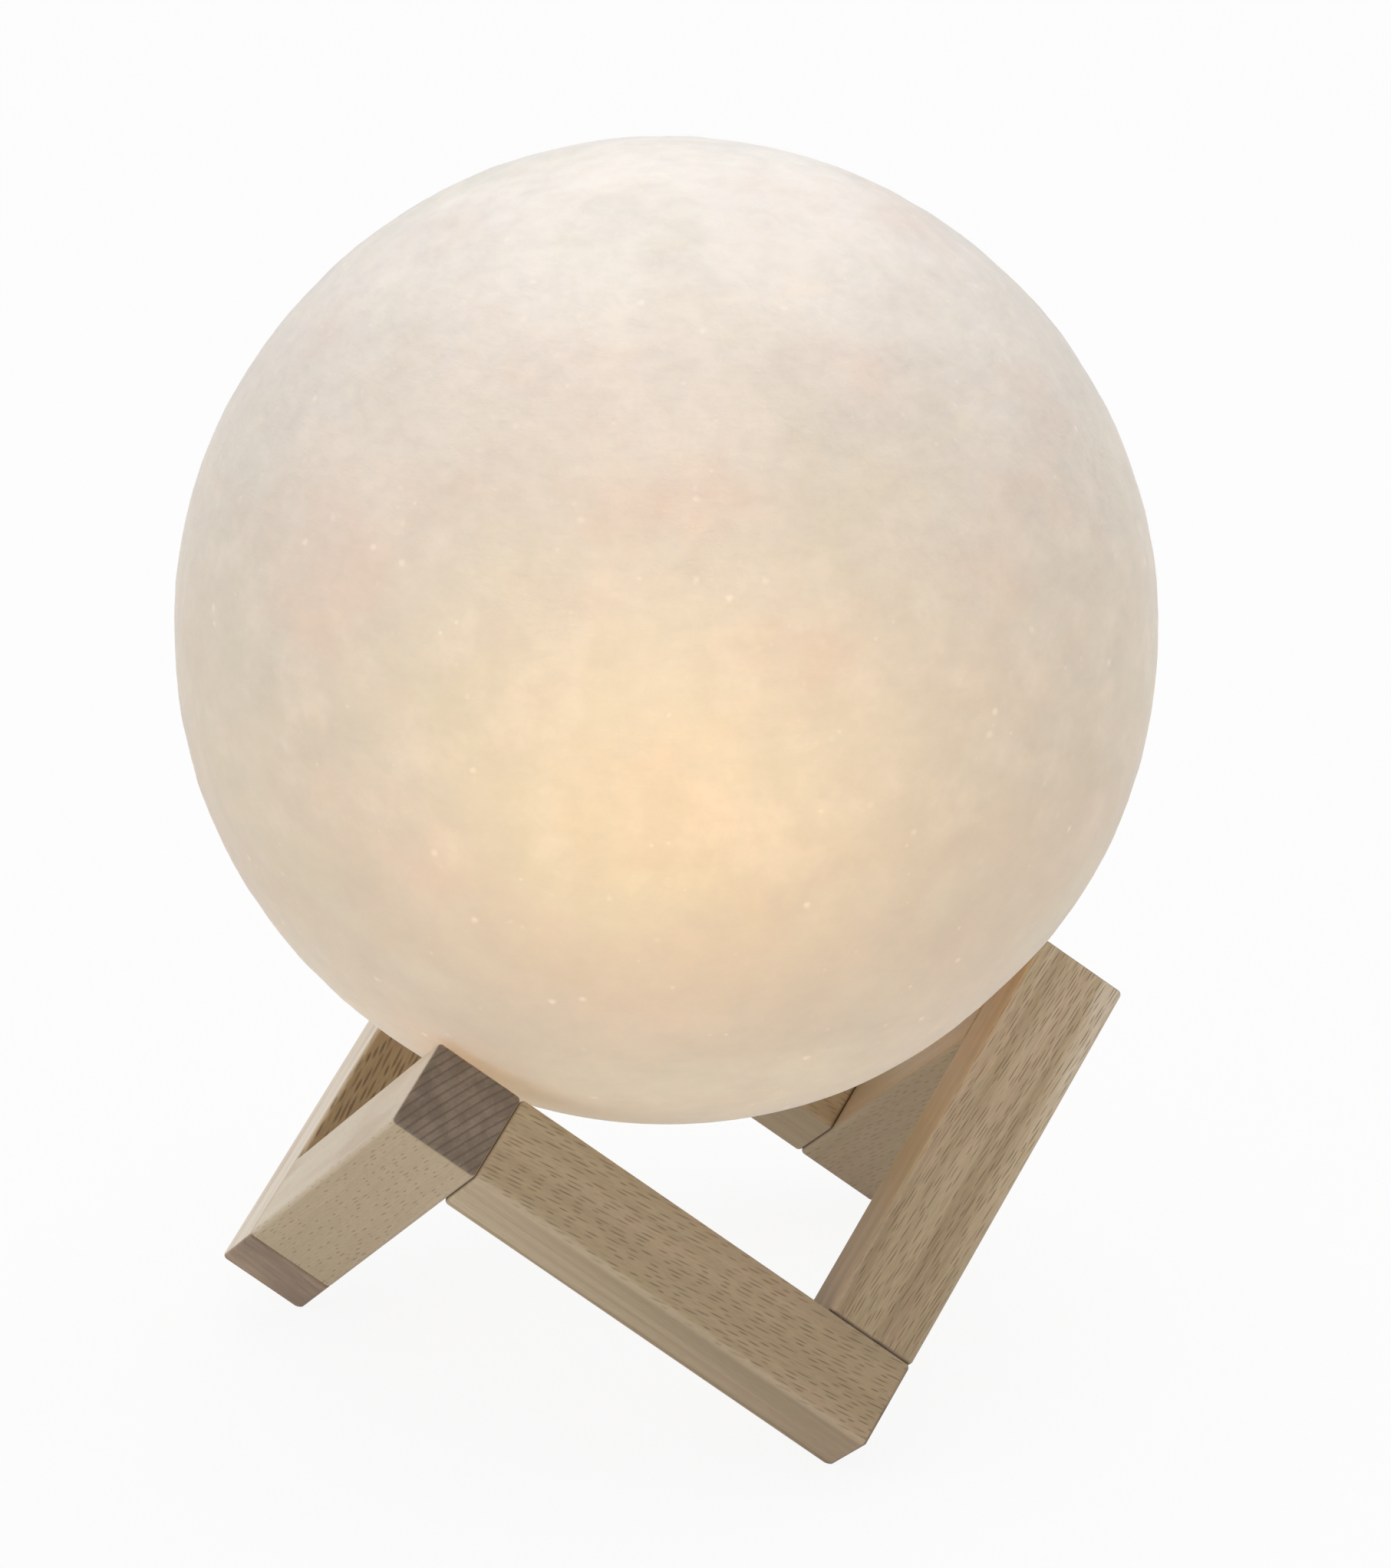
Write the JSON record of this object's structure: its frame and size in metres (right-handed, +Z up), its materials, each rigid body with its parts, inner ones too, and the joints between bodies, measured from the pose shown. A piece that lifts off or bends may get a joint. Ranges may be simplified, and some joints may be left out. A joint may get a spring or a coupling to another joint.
{
  "type": "moon lamp",
  "caption": "Glowing moon globe resting loose on the upper tips of a zig-zag ring of square wooden bars, with a rechargeable light core inside and a push button under it.",
  "frame": {"origin": "on the globe's axis, in the surface that the stand's three feet rest on", "axes": "+Z up; -Y towards the front, where the picture was taken from, within 5 degrees; +X to the right"},
  "size_m": [0.15, 0.15, 0.1889],
  "materials": {
    "beech": "planed beech, oiled, short dark flecks",
    "moon_print": "thin translucent warm white print with a fine raised moon relief, lit from inside",
    "white_plastic": "fine moulded grain",
    "milky_plastic": "translucent diffuser plastic, lit from inside",
    "button_plastic": "polished",
    "clear_plastic": "clear light pipe",
    "black_plastic": "moulded",
    "board_resin": "green solder resist",
    "screw_steel": "zinc plated",
    "socket_steel": "stamped, nickel plated",
    "nickel_strip": "nickel strip",
    "cell_sleeve": "shrink sleeve",
    "pad_foam": "closed cell foam",
    "lead_sleeve": "soft insulation",
    "plate_aluminium": "white lacquered face, bare edge",
    "light_chip": "phosphor under clear resin"
  },
  "bodies": {
    "stand": {"tip_bar_front": "beech", "tip_bar_right": "beech", "tip_bar_rear": "beech", "foot_bar_left": "beech", "foot_bar_front": "beech", "foot_bar_rear": "beech", "stand_dowels": "beech"},
    "globe": {"globe_shell": "moon_print", "neck_ring": "white_plastic", "base_cap": "white_plastic", "cap_screws": "screw_steel", "charging_socket": "socket_steel", "socket_tongue": "black_plastic", "control_board": "board_resin", "board_screws": "screw_steel", "charge_chip": "black_plastic", "indicator_led": "light_chip", "indicator_lens": "clear_plastic", "switch_body": "black_plastic", "core_housing": "white_plastic", "battery_cell": "cell_sleeve", "battery_pads": "pad_foam", "battery_tabs": "nickel_strip", "battery_leads": "lead_sleeve", "lamp_leads": "lead_sleeve", "lamp_plate": "plate_aluminium", "plate_screws": "screw_steel", "light_chips": "light_chip", "diffuser_dome": "milky_plastic"},
    "button": {"power_button": "button_plastic", "switch_plunger": "black_plastic"}
  },
  "joints": [
    {"name": "globe_lift", "type": "slide", "parent": "stand", "child": "globe", "axis": [0, 0, 1], "range_m": [0, 0.12]},
    {"name": "button_press", "type": "slide", "parent": "globe", "child": "button", "axis": [0, 0, 1], "range_m": [0, 0.0006], "stiffness_N_per_m": 2000, "springref_m": -0.0003}
  ]
}
